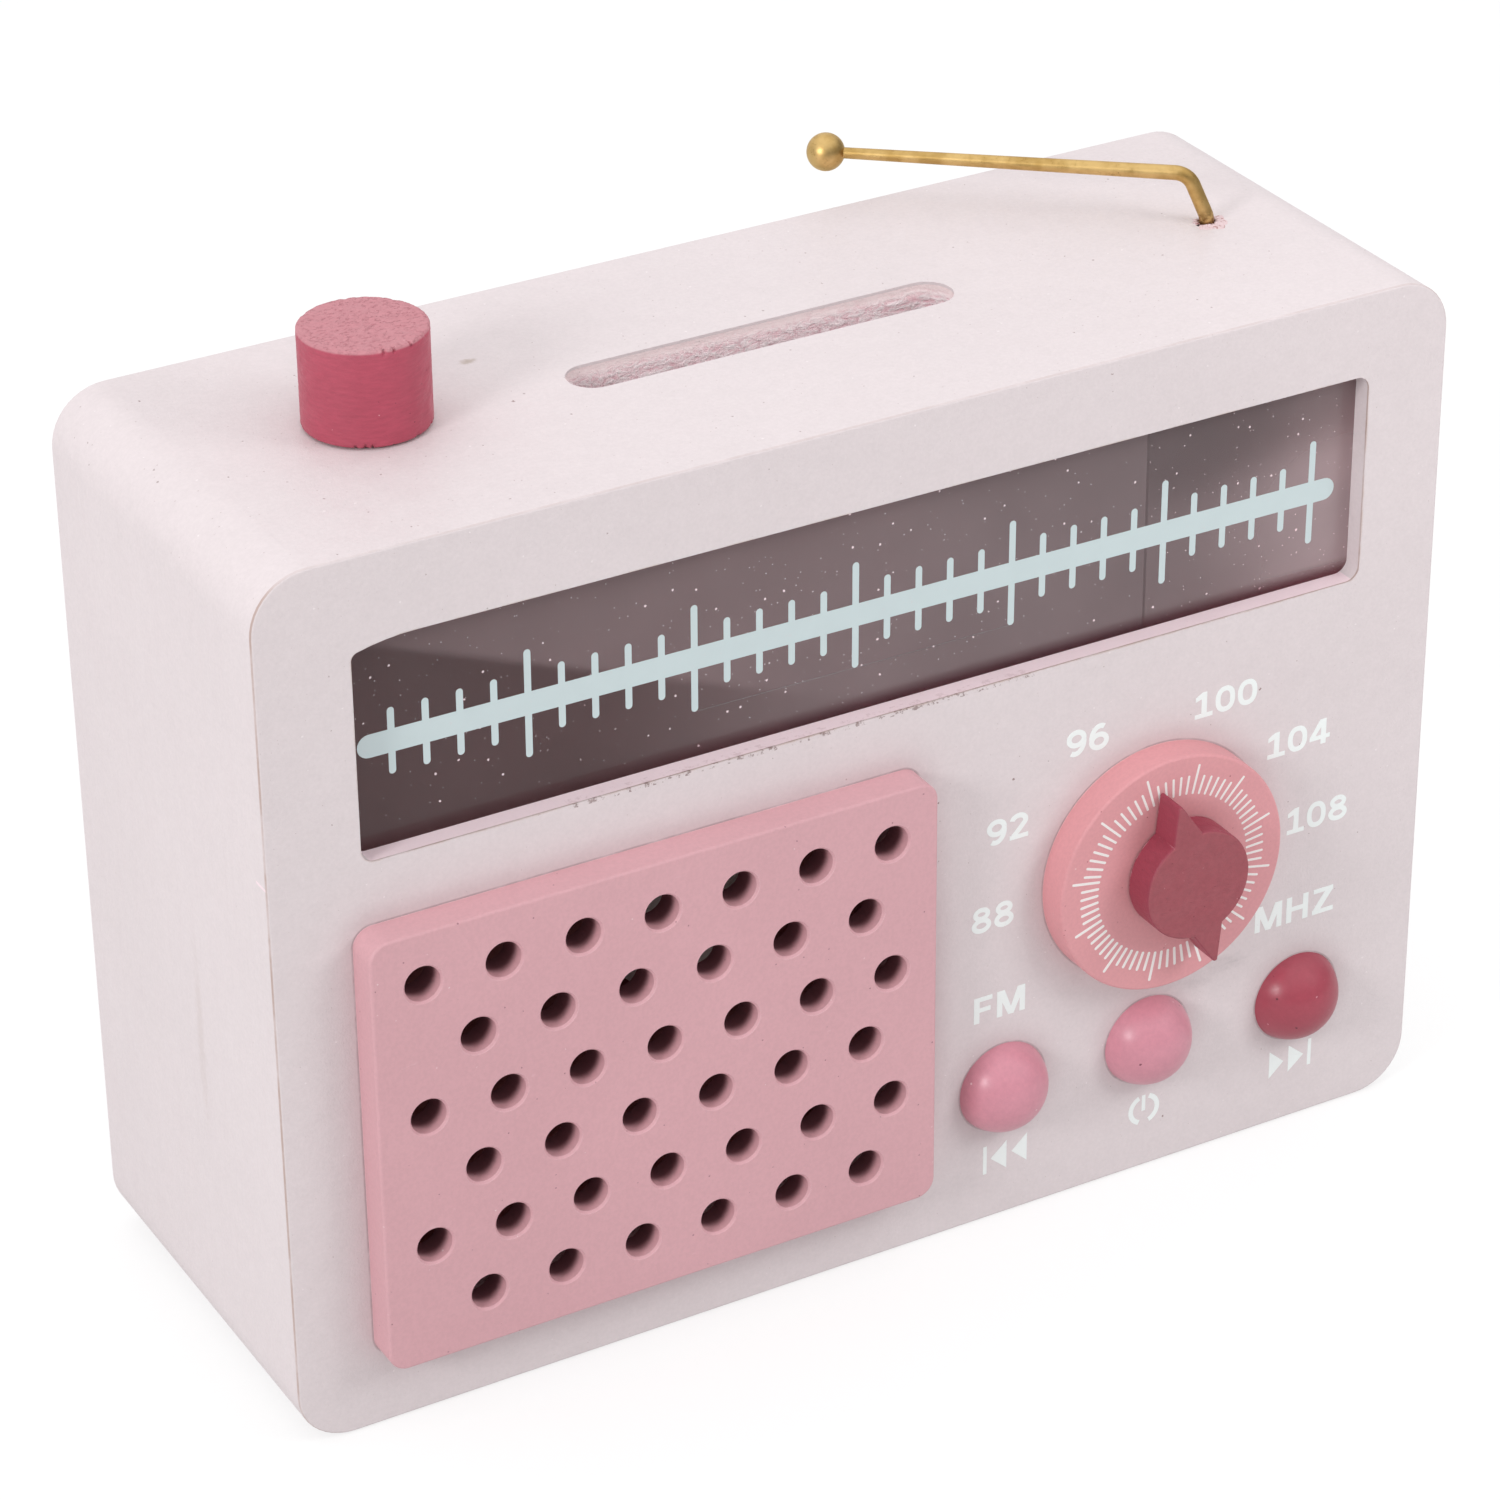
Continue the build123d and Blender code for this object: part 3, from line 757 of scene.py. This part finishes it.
def flat_print(name, shapes, plane, body, material):
    """One thin raised print, from overlapping shapes in x and z (mm), on a face that looks to -Y."""
    corners, faces = [], []
    for shape in shapes:
        first = len(corners)
        corners += [Vector(corner) for corner in shape]
        faces.append(list(range(first, len(corners))))
    points, _, triangles, _, _, _ = geometry.delaunay_2d_cdt(corners, [], faces, 0, 1e-5)
    outlines = [[Vector(corner) for corner in shape] for shape in shapes]
    limits = [(min(c.x for c in line), max(c.x for c in line), line) for line in outlines]
    inked = []
    for patch in triangles:
        middle = sum((points[i] for i in patch), Vector((0.0, 0.0))) / len(patch)
        if any(low < middle.x < high and covers(shape, middle) for low, high, shape in limits):
            inked.append(tuple(patch))
    edges = {}
    for patch in inked:
        for a, b in zip(patch, patch[1:] + patch[:1]):
            edges[frozenset((a, b))] = None if frozenset((a, b)) in edges else (a, b)
    used = sorted({i for patch in inked for i in patch})
    order = {old: new for new, old in enumerate(used)}
    count = len(used)
    top = plane / MM - INK_HEIGHT
    vertices = [(points[i].x * MM, top * MM, points[i].y * MM) for i in used]
    vertices += [(x, plane, z) for x, _, z in vertices]
    solid = [tuple(order[i] for i in patch) for patch in inked]
    for rim in edges.values():
        if rim:
            a, b = order[rim[0]], order[rim[1]]
            solid.append((b, a, a + count, b + count))
    mesh = bpy.data.meshes.new(name)
    mesh.from_pydata(vertices, [], solid)
    mesh.validate()
    mesh.update()
    return place(name, mesh, body, material)


def place(name, mesh, body, material):
    piece = bpy.data.objects.new(name, mesh)
    bpy.context.scene.collection.objects.link(piece)
    piece.data.materials.append(material)
    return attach(piece, body)


STATION_NUMBERS = {
    "number_88": ("88", 14.5, 21.4, 48.1, 52.2),
    "number_92": ("92", 16.75, 23.5, 61.6, 65.6),
    "number_96": ("96", 29.4, 36.35, 71.9, 76.0),
    "number_100": ("100", 50.5, 60.9, 72.1, 76.1),
    "number_104": ("104", 63.1, 73.75, 62.1, 66.1),
    "number_108": ("108", 67.1, 77.5, 48.6, 52.7),
    "letters_fm": ("FM", 15.1, 23.5, 33.4, 37.6),
    "letters_mhz": ("MHZ", 62.3, 75.9, 33.7, 37.9),
}


def front_prints(ink):
    for name, (text, left, right, low, high) in STATION_NUMBERS.items():
        flat_print(name, lettering(text, left, right, low, high), FRONT_FACE, "case", ink)


def triangle(flat_x, point_x, low, high):
    corners = [(flat_x, low), (point_x, (low + high) / 2), (flat_x, high)]
    return corners if point_x > flat_x else corners[::-1]


def box_shape(left, right, low, high):
    return [(left, low), (right, low), (right, high), (left, high)]


def button_symbols(ink):
    rewind = [
        box_shape(17.0, 17.6, 7.6, 12.25),
        triangle(20.9, 18.25, 7.6, 12.25),
        triangle(24.3, 21.75, 7.75, 12.4),
    ]
    flat_print("symbol_rewind", rewind, FRONT_FACE, "case", ink)
    forward = [
        triangle(66.0, 68.5, 7.75, 12.3),
        triangle(69.35, 72.0, 7.9, 12.4),
        box_shape(72.75, 73.35, 8.0, 12.45),
    ]
    flat_print("symbol_forward", forward, FRONT_FACE, "case", ink)
    centre, radii = (44.2, 9.75), (2.25, 2.2)
    power = ribbon(ellipse(centre, radii, 112, 248, 20), 0.78)
    power += ribbon(ellipse(centre, radii, -68, 68, 20), 0.78)
    power += [box_shape(43.82, 44.42, 9.5, 12.15)]
    flat_print("symbol_power", power, FRONT_FACE, "case", ink)


DIAL_TICKS = 73
DIAL_FIRST = 284.4
DIAL_PITCH = 4.944
DIAL_LONG_EVERY = 6
DIAL_INNER = 12.45
DIAL_SHORT = 15.05
DIAL_LONG = 16.7
DIAL_TICK_WIDTH = 0.36
DIAL_TICK_SPREAD = 0.08
DIAL_THINNEST = 40.0


def dial_ticks(ink):
    shapes = []
    for i in range(DIAL_TICKS):
        turn = radians(DIAL_FIRST + DIAL_PITCH * i)
        outer = DIAL_LONG if i % DIAL_LONG_EVERY == 0 and i > 0 else DIAL_SHORT
        width = DIAL_TICK_WIDTH + DIAL_TICK_SPREAD * max(0.0, -cos(turn - radians(DIAL_THINNEST)))
        way = Vector((sin(turn), cos(turn)))
        centre = Vector((DISC_CENTRE.x / MM, DISC_CENTRE.z / MM))
        shapes += bar(centre + way * DIAL_INNER, centre + way * outer, width)
    flat_print("dial_ticks", shapes, DISC_FRONT, "case", ink)


SCALE_LEFT = (-73.52, 101.9)
SCALE_RIGHT = (72.72, 100.9)
SCALE_WIDTH = 3.35
SCALE_TICKS = 30
SCALE_FIRST = -70.35
SCALE_PITCH = 4.858
SCALE_TICK_WIDTH = 1.0
SCALE_SHORT_TICK = 9.6
SCALE_LONG_TICK = 15.7
SCALE_LONG_EVERY = 5


def window_scale(ink):
    shapes = bar(SCALE_LEFT, SCALE_RIGHT, SCALE_WIDTH)
    tilt = (SCALE_RIGHT[1] - SCALE_LEFT[1]) / (SCALE_RIGHT[0] - SCALE_LEFT[0])
    for i in range(SCALE_TICKS):
        x = SCALE_FIRST + SCALE_PITCH * i
        z = SCALE_LEFT[1] + tilt * (x - SCALE_LEFT[0])
        length = SCALE_SHORT_TICK if (i + 1) % SCALE_LONG_EVERY else SCALE_LONG_TICK
        reach = length / 2 - SCALE_TICK_WIDTH / 2
        lean = -tilt * reach
        shapes += bar((x - lean, z - reach), (x + lean, z + reach), SCALE_TICK_WIDTH)
    flat_print("window_scale", shapes, PANE_FRONT, "case", ink)


# ------------------------------------------------------------------ volume knob


RIM_CHIPS = (
    # angle round the knob in degrees, half width in degrees, depth and drop in mm
    (-97.0, 3.2, 0.80, 1.10),
    (-104.0, 6.0, 0.40, 0.50),
    (-88.0, 1.6, 0.75, 0.80),
    (-70.0, 1.6, 0.70, 0.85),
    (-57.0, 5.0, 0.32, 0.40),
    (-46.0, 6.0, 0.38, 0.45),
    (-28.0, 4.0, 0.25, 0.30),
    (-118.0, 3.0, 0.20, 0.30),
    (-140.0, 4.0, 0.22, 0.30),
    (35.0, 5.0, 0.30, 0.40),
    (80.0, 3.0, 0.25, 0.40),
    (128.0, 4.5, 0.30, 0.35),
    (171.0, 3.0, 0.30, 0.45),
)
FOOT_CHIPS = (
    (-117.0, 2.2, 0.80, 0.65),
    (-111.0, 1.6, 0.70, 0.55),
    (-126.0, 1.6, 0.60, 0.50),
    (-92.0, 1.2, 0.45, 0.35),
    (-66.0, 3.0, 0.45, 0.40),
    (-42.0, 2.4, 0.70, 0.60),
    (-35.0, 1.8, 0.60, 0.50),
    (20.0, 3.0, 0.35, 0.35),
    (110.0, 2.5, 0.40, 0.40),
    (165.0, 2.0, 0.40, 0.40),
)
KNOB_ROUND = 0.35
SHADED_CHIP_CUT = 0.6
CHIP_SHADE_RADII = (0.00032, 0.00032, 0.00045)
KNOB_TURNS = 384


def knob_profile(radius, height):
    """(radius, height) in mm, from the foot's centre to the top's centre."""
    points = [(radius * r, 0.0) for r in (0.02, 0.5, 0.9)]
    for i in range(5):
        angle = radians(-90 + 22.5 * i)
        points.append((radius - KNOB_ROUND + KNOB_ROUND * cos(angle), KNOB_ROUND + KNOB_ROUND * sin(angle)))
    z = KNOB_ROUND
    while z < height - KNOB_ROUND - 0.5:
        z += 0.14 if z < 1.2 or z > height - 1.6 else 0.30
        points.append((radius, z))
    for i in range(7):
        angle = radians(15.0 * i)
        up = height - KNOB_ROUND + KNOB_ROUND * sin(angle)
        points.append((radius - KNOB_ROUND + KNOB_ROUND * cos(angle), up))
    inward = radius - KNOB_ROUND
    while inward > 0.5:
        inward -= 0.16 if inward > radius - 1.6 else 0.32
        points.append((max(inward, 0.15), height))
    return points


def chip_depth(chips, angle, down):
    """How deep the chips cut at an angle and at a distance from the rim, in mm."""
    depth = 0.0
    for centre, half, cut, drop in chips:
        apart = abs((angle - centre + 180.0) % 360.0 - 180.0)
        if apart < half and down < drop:
            depth = max(depth, cut * (1.0 - apart / half) ** 0.6 * (1.0 - down / drop) ** 0.7)
    return depth


def shaded_chip_middles():
    """Middles of the deepest chips at the knob's rim and foot, where shade is painted."""
    middle = (VOLUME_LOW + VOLUME_HIGH) / 2
    radius = (VOLUME_HIGH.x - VOLUME_LOW.x) / 2
    spots = []
    for chips, level, side in ((RIM_CHIPS, VOLUME_HIGH.z, -1.0), (FOOT_CHIPS, VOLUME_LOW.z, 1.0)):
        for centre, _, cut, drop in chips:
            if cut >= SHADED_CHIP_CUT:
                angle = radians(centre)
                height = level + side * drop * 0.45 * MM
                spots.append((middle.x + cos(angle) * radius, middle.y + sin(angle) * radius, height))
    return spots


def volume_knob(material):
    """The knob with its turned wall, sawn top and chipped rim and foot."""
    middle = (VOLUME_LOW + VOLUME_HIGH) / 2
    radius = (VOLUME_HIGH.x - VOLUME_LOW.x) / 2 / MM
    height = (VOLUME_HIGH.z - VOLUME_LOW.z) / MM
    profile = knob_profile(radius, height)
    vertices, faces = [], []
    for ring, (out, up) in enumerate(profile):
        for turn in range(KNOB_TURNS):
            angle = 360.0 * turn / KNOB_TURNS
            way = Vector((cos(radians(angle)), sin(radians(angle)), 0.0))
            spot = way * out + Vector((0.0, 0.0, up))
            wall = 1.0 if 0.0 < up < height and out > radius - KNOB_ROUND - 0.01 else 0.0
            top = 1.0 if up > height - KNOB_ROUND else 0.0
            turned = noise.fractal(Vector((spot.x * 0.5, spot.y * 0.5, spot.z * 3.2)), 1.0, 2.0, 4)
            sawn = noise.fractal(Vector((spot.x * 1.1, spot.y * 3.4, 7.0)), 0.8, 2.0, 5)
            off_wall = (radius - out) * 0.8
            rim_cut = chip_depth(RIM_CHIPS, angle, height - up + off_wall)
            foot_cut = chip_depth(FOOT_CHIPS, angle, up + off_wall)
            ragged = 0.75 + 0.5 * noise.noise(spot * 3.0)
            inward = wall * (0.03 + 0.03 * turned) + (rim_cut + foot_cut) * ragged
            sink = top * (0.05 + 0.06 * sawn) + rim_cut * 0.5 * ragged
            reach = max(0.0, out - max(0.0, inward))
            level = up - max(0.0, sink)
            vertices.append((
                middle.x + way.x * reach * MM,
                middle.y + way.y * reach * MM,
                VOLUME_LOW.z + level * MM,
            ))
            if ring:
                low, next_turn = (ring - 1) * KNOB_TURNS, (turn + 1) % KNOB_TURNS
                high = low + KNOB_TURNS
                faces.append((low + turn, low + next_turn, high + next_turn, high + turn))
    faces.append(tuple(range(KNOB_TURNS))[::-1])
    last = (len(profile) - 1) * KNOB_TURNS
    faces.append(tuple(range(last, last + KNOB_TURNS)))
    mesh = bpy.data.meshes.new("volume_knob_turned")
    mesh.from_pydata(vertices, [], faces)
    mesh.polygons.foreach_set("use_smooth", [True] * len(mesh.polygons))
    mesh.update()
    piece = place("volume_knob_turned", mesh, "volume", material)
    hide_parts("volume_knob")


# ------------------------------------------------------------------ torn paint round the aerial


RIM_TURNS = 72
RIM_INNER = 1.12
# distance from the hole's middle and height, in mm
RIM_PROFILE = (
    (RIM_INNER, 0.02),
    (1.24, 0.18),
    (1.42, 0.26),
    (1.65, 0.20),
    (1.95, 0.12),
    (2.25, 0.05),
    (2.5, 0.0),
)


def torn_rim(material):
    """A ragged lip of paint round the hole, widest at its lower right."""
    vertices, faces = [], []
    for ring, (out, up) in enumerate(RIM_PROFILE):
        for turn in range(RIM_TURNS):
            angle = 2 * pi * turn / RIM_TURNS
            spread = 0.55 + 0.45 * cos(angle - radians(-40.0))
            jag = noise.fractal(Vector((cos(angle) * 2.2, sin(angle) * 2.2, ring * 0.35)), 0.9, 2.0, 4)
            reach = RIM_INNER + (out - RIM_INNER) * (0.35 + 0.95 * spread + 0.55 * jag)
            level = max(0.0, up * (0.35 + spread + 0.9 * jag))
            vertices.append((
                AERIAL_FOOT.x + cos(angle) * reach * MM,
                AERIAL_FOOT.y + sin(angle) * reach * MM,
                AERIAL_FOOT.z + level * MM,
            ))
            if ring:
                low, next_turn = (ring - 1) * RIM_TURNS, (turn + 1) % RIM_TURNS
                high = low + RIM_TURNS
                faces.append((low + turn, high + turn, high + next_turn, low + next_turn))
    mesh = bpy.data.meshes.new("torn_rim")
    mesh.from_pydata(vertices, [], faces)
    mesh.polygons.foreach_set("use_smooth", [True] * len(mesh.polygons))
    mesh.update()
    place("torn_rim", mesh, "case", material)


# ------------------------------------------------------------------ stage


FLOOR_RADIUS = 4.0
FLOOR_SIDES = 96
FLOOR_LEVEL = -0.0002
FLOOR_GLOW = 0.36
FLOOR_GLOW_SEEN = 0.64
LIGHT_TARGET = (0.0, 0.0, 0.07)


def floor():
    """A round sheet of pale paper that glows a little."""
    mesh = bpy.data.meshes.new("floor")
    turns = [2 * pi * i / FLOOR_SIDES for i in range(FLOOR_SIDES)]
    ring = [(FLOOR_RADIUS * cos(turn), FLOOR_RADIUS * sin(turn), FLOOR_LEVEL) for turn in turns]
    mesh.from_pydata(ring, [], [tuple(range(FLOOR_SIDES))])
    piece = bpy.data.objects.new("floor", mesh)
    bpy.context.scene.collection.objects.link(piece)
    p = Paint("floor_paper", roughness=0.9, specular=0.1)
    p.shader.inputs["Emission Color"].default_value = (1.0, 1.0, 1.0, 1.0)
    seen = p.add("ShaderNodeLightPath").outputs["Is Camera Ray"]
    glow = p.math("MULTIPLY_ADD", seen, FLOOR_GLOW_SEEN - FLOOR_GLOW, FLOOR_GLOW)
    p.wire(glow, p.shader.inputs["Emission Strength"])
    base = p.tone("A3A3A3", 0.004, p.clouds(0.4, 2.0))
    piece.data.materials.append(p.finish(base))


def world():
    """Soft white surroundings, dimmer in front and brighter behind and above."""
    sky = bpy.data.worlds.new("studio")
    bpy.context.scene.world = sky
    sky.use_nodes = True
    nodes, links = sky.node_tree.nodes, sky.node_tree.links
    place_node = nodes.new("ShaderNodeTexCoord")
    split = nodes.new("ShaderNodeSeparateXYZ")
    links.new(place_node.outputs["Generated"], split.inputs[0])

    def ramp(source, low, high, first, last):
        node = nodes.new("ShaderNodeMapRange")
        node.interpolation_type = "SMOOTHSTEP"
        node.inputs["From Min"].default_value = low
        node.inputs["From Max"].default_value = high
        node.inputs["To Min"].default_value = first
        node.inputs["To Max"].default_value = last
        links.new(source, node.inputs["Value"])
        return node.outputs[0]

    def combine(operation, first, second):
        node = nodes.new("ShaderNodeMath")
        node.operation = operation
        links.new(first, node.inputs[0])
        links.new(second, node.inputs[1])
        return node.outputs[0]

    upward = ramp(split.outputs[2], 0.15, 1.0, 0.25, 1.15)
    backward = ramp(split.outputs[1], 0.1, 0.9, 0.0, 0.7)
    behind = combine("MULTIPLY", backward, ramp(split.outputs[2], 0.0, 0.9, 1.0, 0.2))
    glow = combine("ADD", upward, behind)
    seen = nodes.new("ShaderNodeMix")
    links.new(nodes.new("ShaderNodeLightPath").outputs["Is Camera Ray"], seen.inputs["Factor"])
    links.new(glow, seen.inputs["A"])
    seen.inputs["B"].default_value = 1.0
    links.new(seen.outputs["Result"], nodes["Background"].inputs["Strength"])
    nodes["Background"].inputs["Color"].default_value = (1.0, 1.0, 1.0, 1.0)


def lamp(name, size, watts, way, distance):
    """A round soft light that looks at the middle of the box from a direction."""
    data = bpy.data.lights.new(name, "AREA")
    data.shape = "DISK"
    data.size = size
    data.energy = watts
    light = bpy.data.objects.new(name, data)
    way = Vector(way).normalized()
    light.location = Vector(LIGHT_TARGET) + way * distance
    light.rotation_euler = way.to_track_quat("Z", "Y").to_euler()
    bpy.context.scene.collection.objects.link(light)
    return light


CAMERA_PLACE = (-0.3085, -0.5467, 0.4216)
CAMERA_LENS = 124.015
CAMERA_SENSOR = 36.0
CAMERA_TURN = -29.22
CAMERA_DOWN = 29.49
CAMERA_ROLL = -0.59


def camera():
    data = bpy.data.cameras.new("camera")
    data.sensor_width = CAMERA_SENSOR
    data.lens = CAMERA_LENS
    data.clip_start = 0.01
    eye = bpy.data.objects.new("camera", data)
    turn = Matrix.Rotation(radians(CAMERA_TURN), 4, "Z")
    tilt = Matrix.Rotation(radians(90.0 - CAMERA_DOWN), 4, "X")
    roll = Matrix.Rotation(radians(CAMERA_ROLL), 4, "Z")
    eye.matrix_world = Matrix.Translation(CAMERA_PLACE) @ turn @ tilt @ roll
    bpy.context.scene.collection.objects.link(eye)
    bpy.context.scene.camera = eye


# ------------------------------------------------------------------ putting it together


def dress(material, *names):
    for name in names:
        node = frame["nodes"][name]
        if not node.material_slots:
            node.data.materials.append(material)
        for holder in node.material_slots:
            holder.material = material


def knob_face(p):
    """The tuning knob's sawn front."""
    return p.math("LESS_THAN", p.y, KNOB_FRONT + 0.00012)


def volume_top(p):
    """The volume knob's sawn top."""
    return p.fade(p.z, VOLUME_HIGH.z - 0.0006, VOLUME_HIGH.z - 0.00025)


camera()
world()
lamp("key", 0.32, 4.3, (-0.85, -0.34, 0.42), 1.1)
fill = lamp("fill", 0.24, 0.75, (0.32, -0.34, 0.26), 0.54)
fill.visible_glossy = False
floor()

dress(case_paint(), "top_board", "bottom_board", "left_side", "right_side", "front_panel", "back_panel")
dress(grille_paint(), "speaker_grille")
dress(disc_paint(), "dial_disc")
light_bead = bead_paint("light_bead_paint", "D4909F", "6E2F42", "F8DEE3", 0.8)
dress(light_bead, "rewind_button", "power_button")
dress(bead_paint("dark_bead_paint", "A54756", "571C2C", "E2A6B4", 2.6), "forward_button")
tuning_paint = raspberry_paint("tuning_knob_paint", knob_face, "993F50", "A0525B", 0.06, 0.10, "E9B9C2")
dress(tuning_paint, "tuning_knob")
dress(clear_pane(), "window_pane")
dress(brass(), "aerial_rod", "aerial_ball")
wood = raw_wood()
dress(wood, "corner_dowels", "button_pegs", "knob_axle", "knob_retainer", "volume_axle", "volume_retainer")
dress(stopper_plastic(), "coin_stopper")

front_ink = print_ink("front_ink", "F6FBFA")
front_prints(front_ink)
button_symbols(front_ink)
dial_ticks(print_ink("dial_ink", "F6F0EE"))
window_scale(print_ink("scale_ink", "CEDCDE"))

volume_paint = raspberry_paint(
    "volume_knob_paint", volume_top, "B44C60", "C98790", 0.08, 0.26, "DFA5B0", shaded_chip_middles()
)
volume_knob(volume_paint)
torn_rim(torn_paint())

bpy.context.scene.view_settings.view_transform = "Standard"
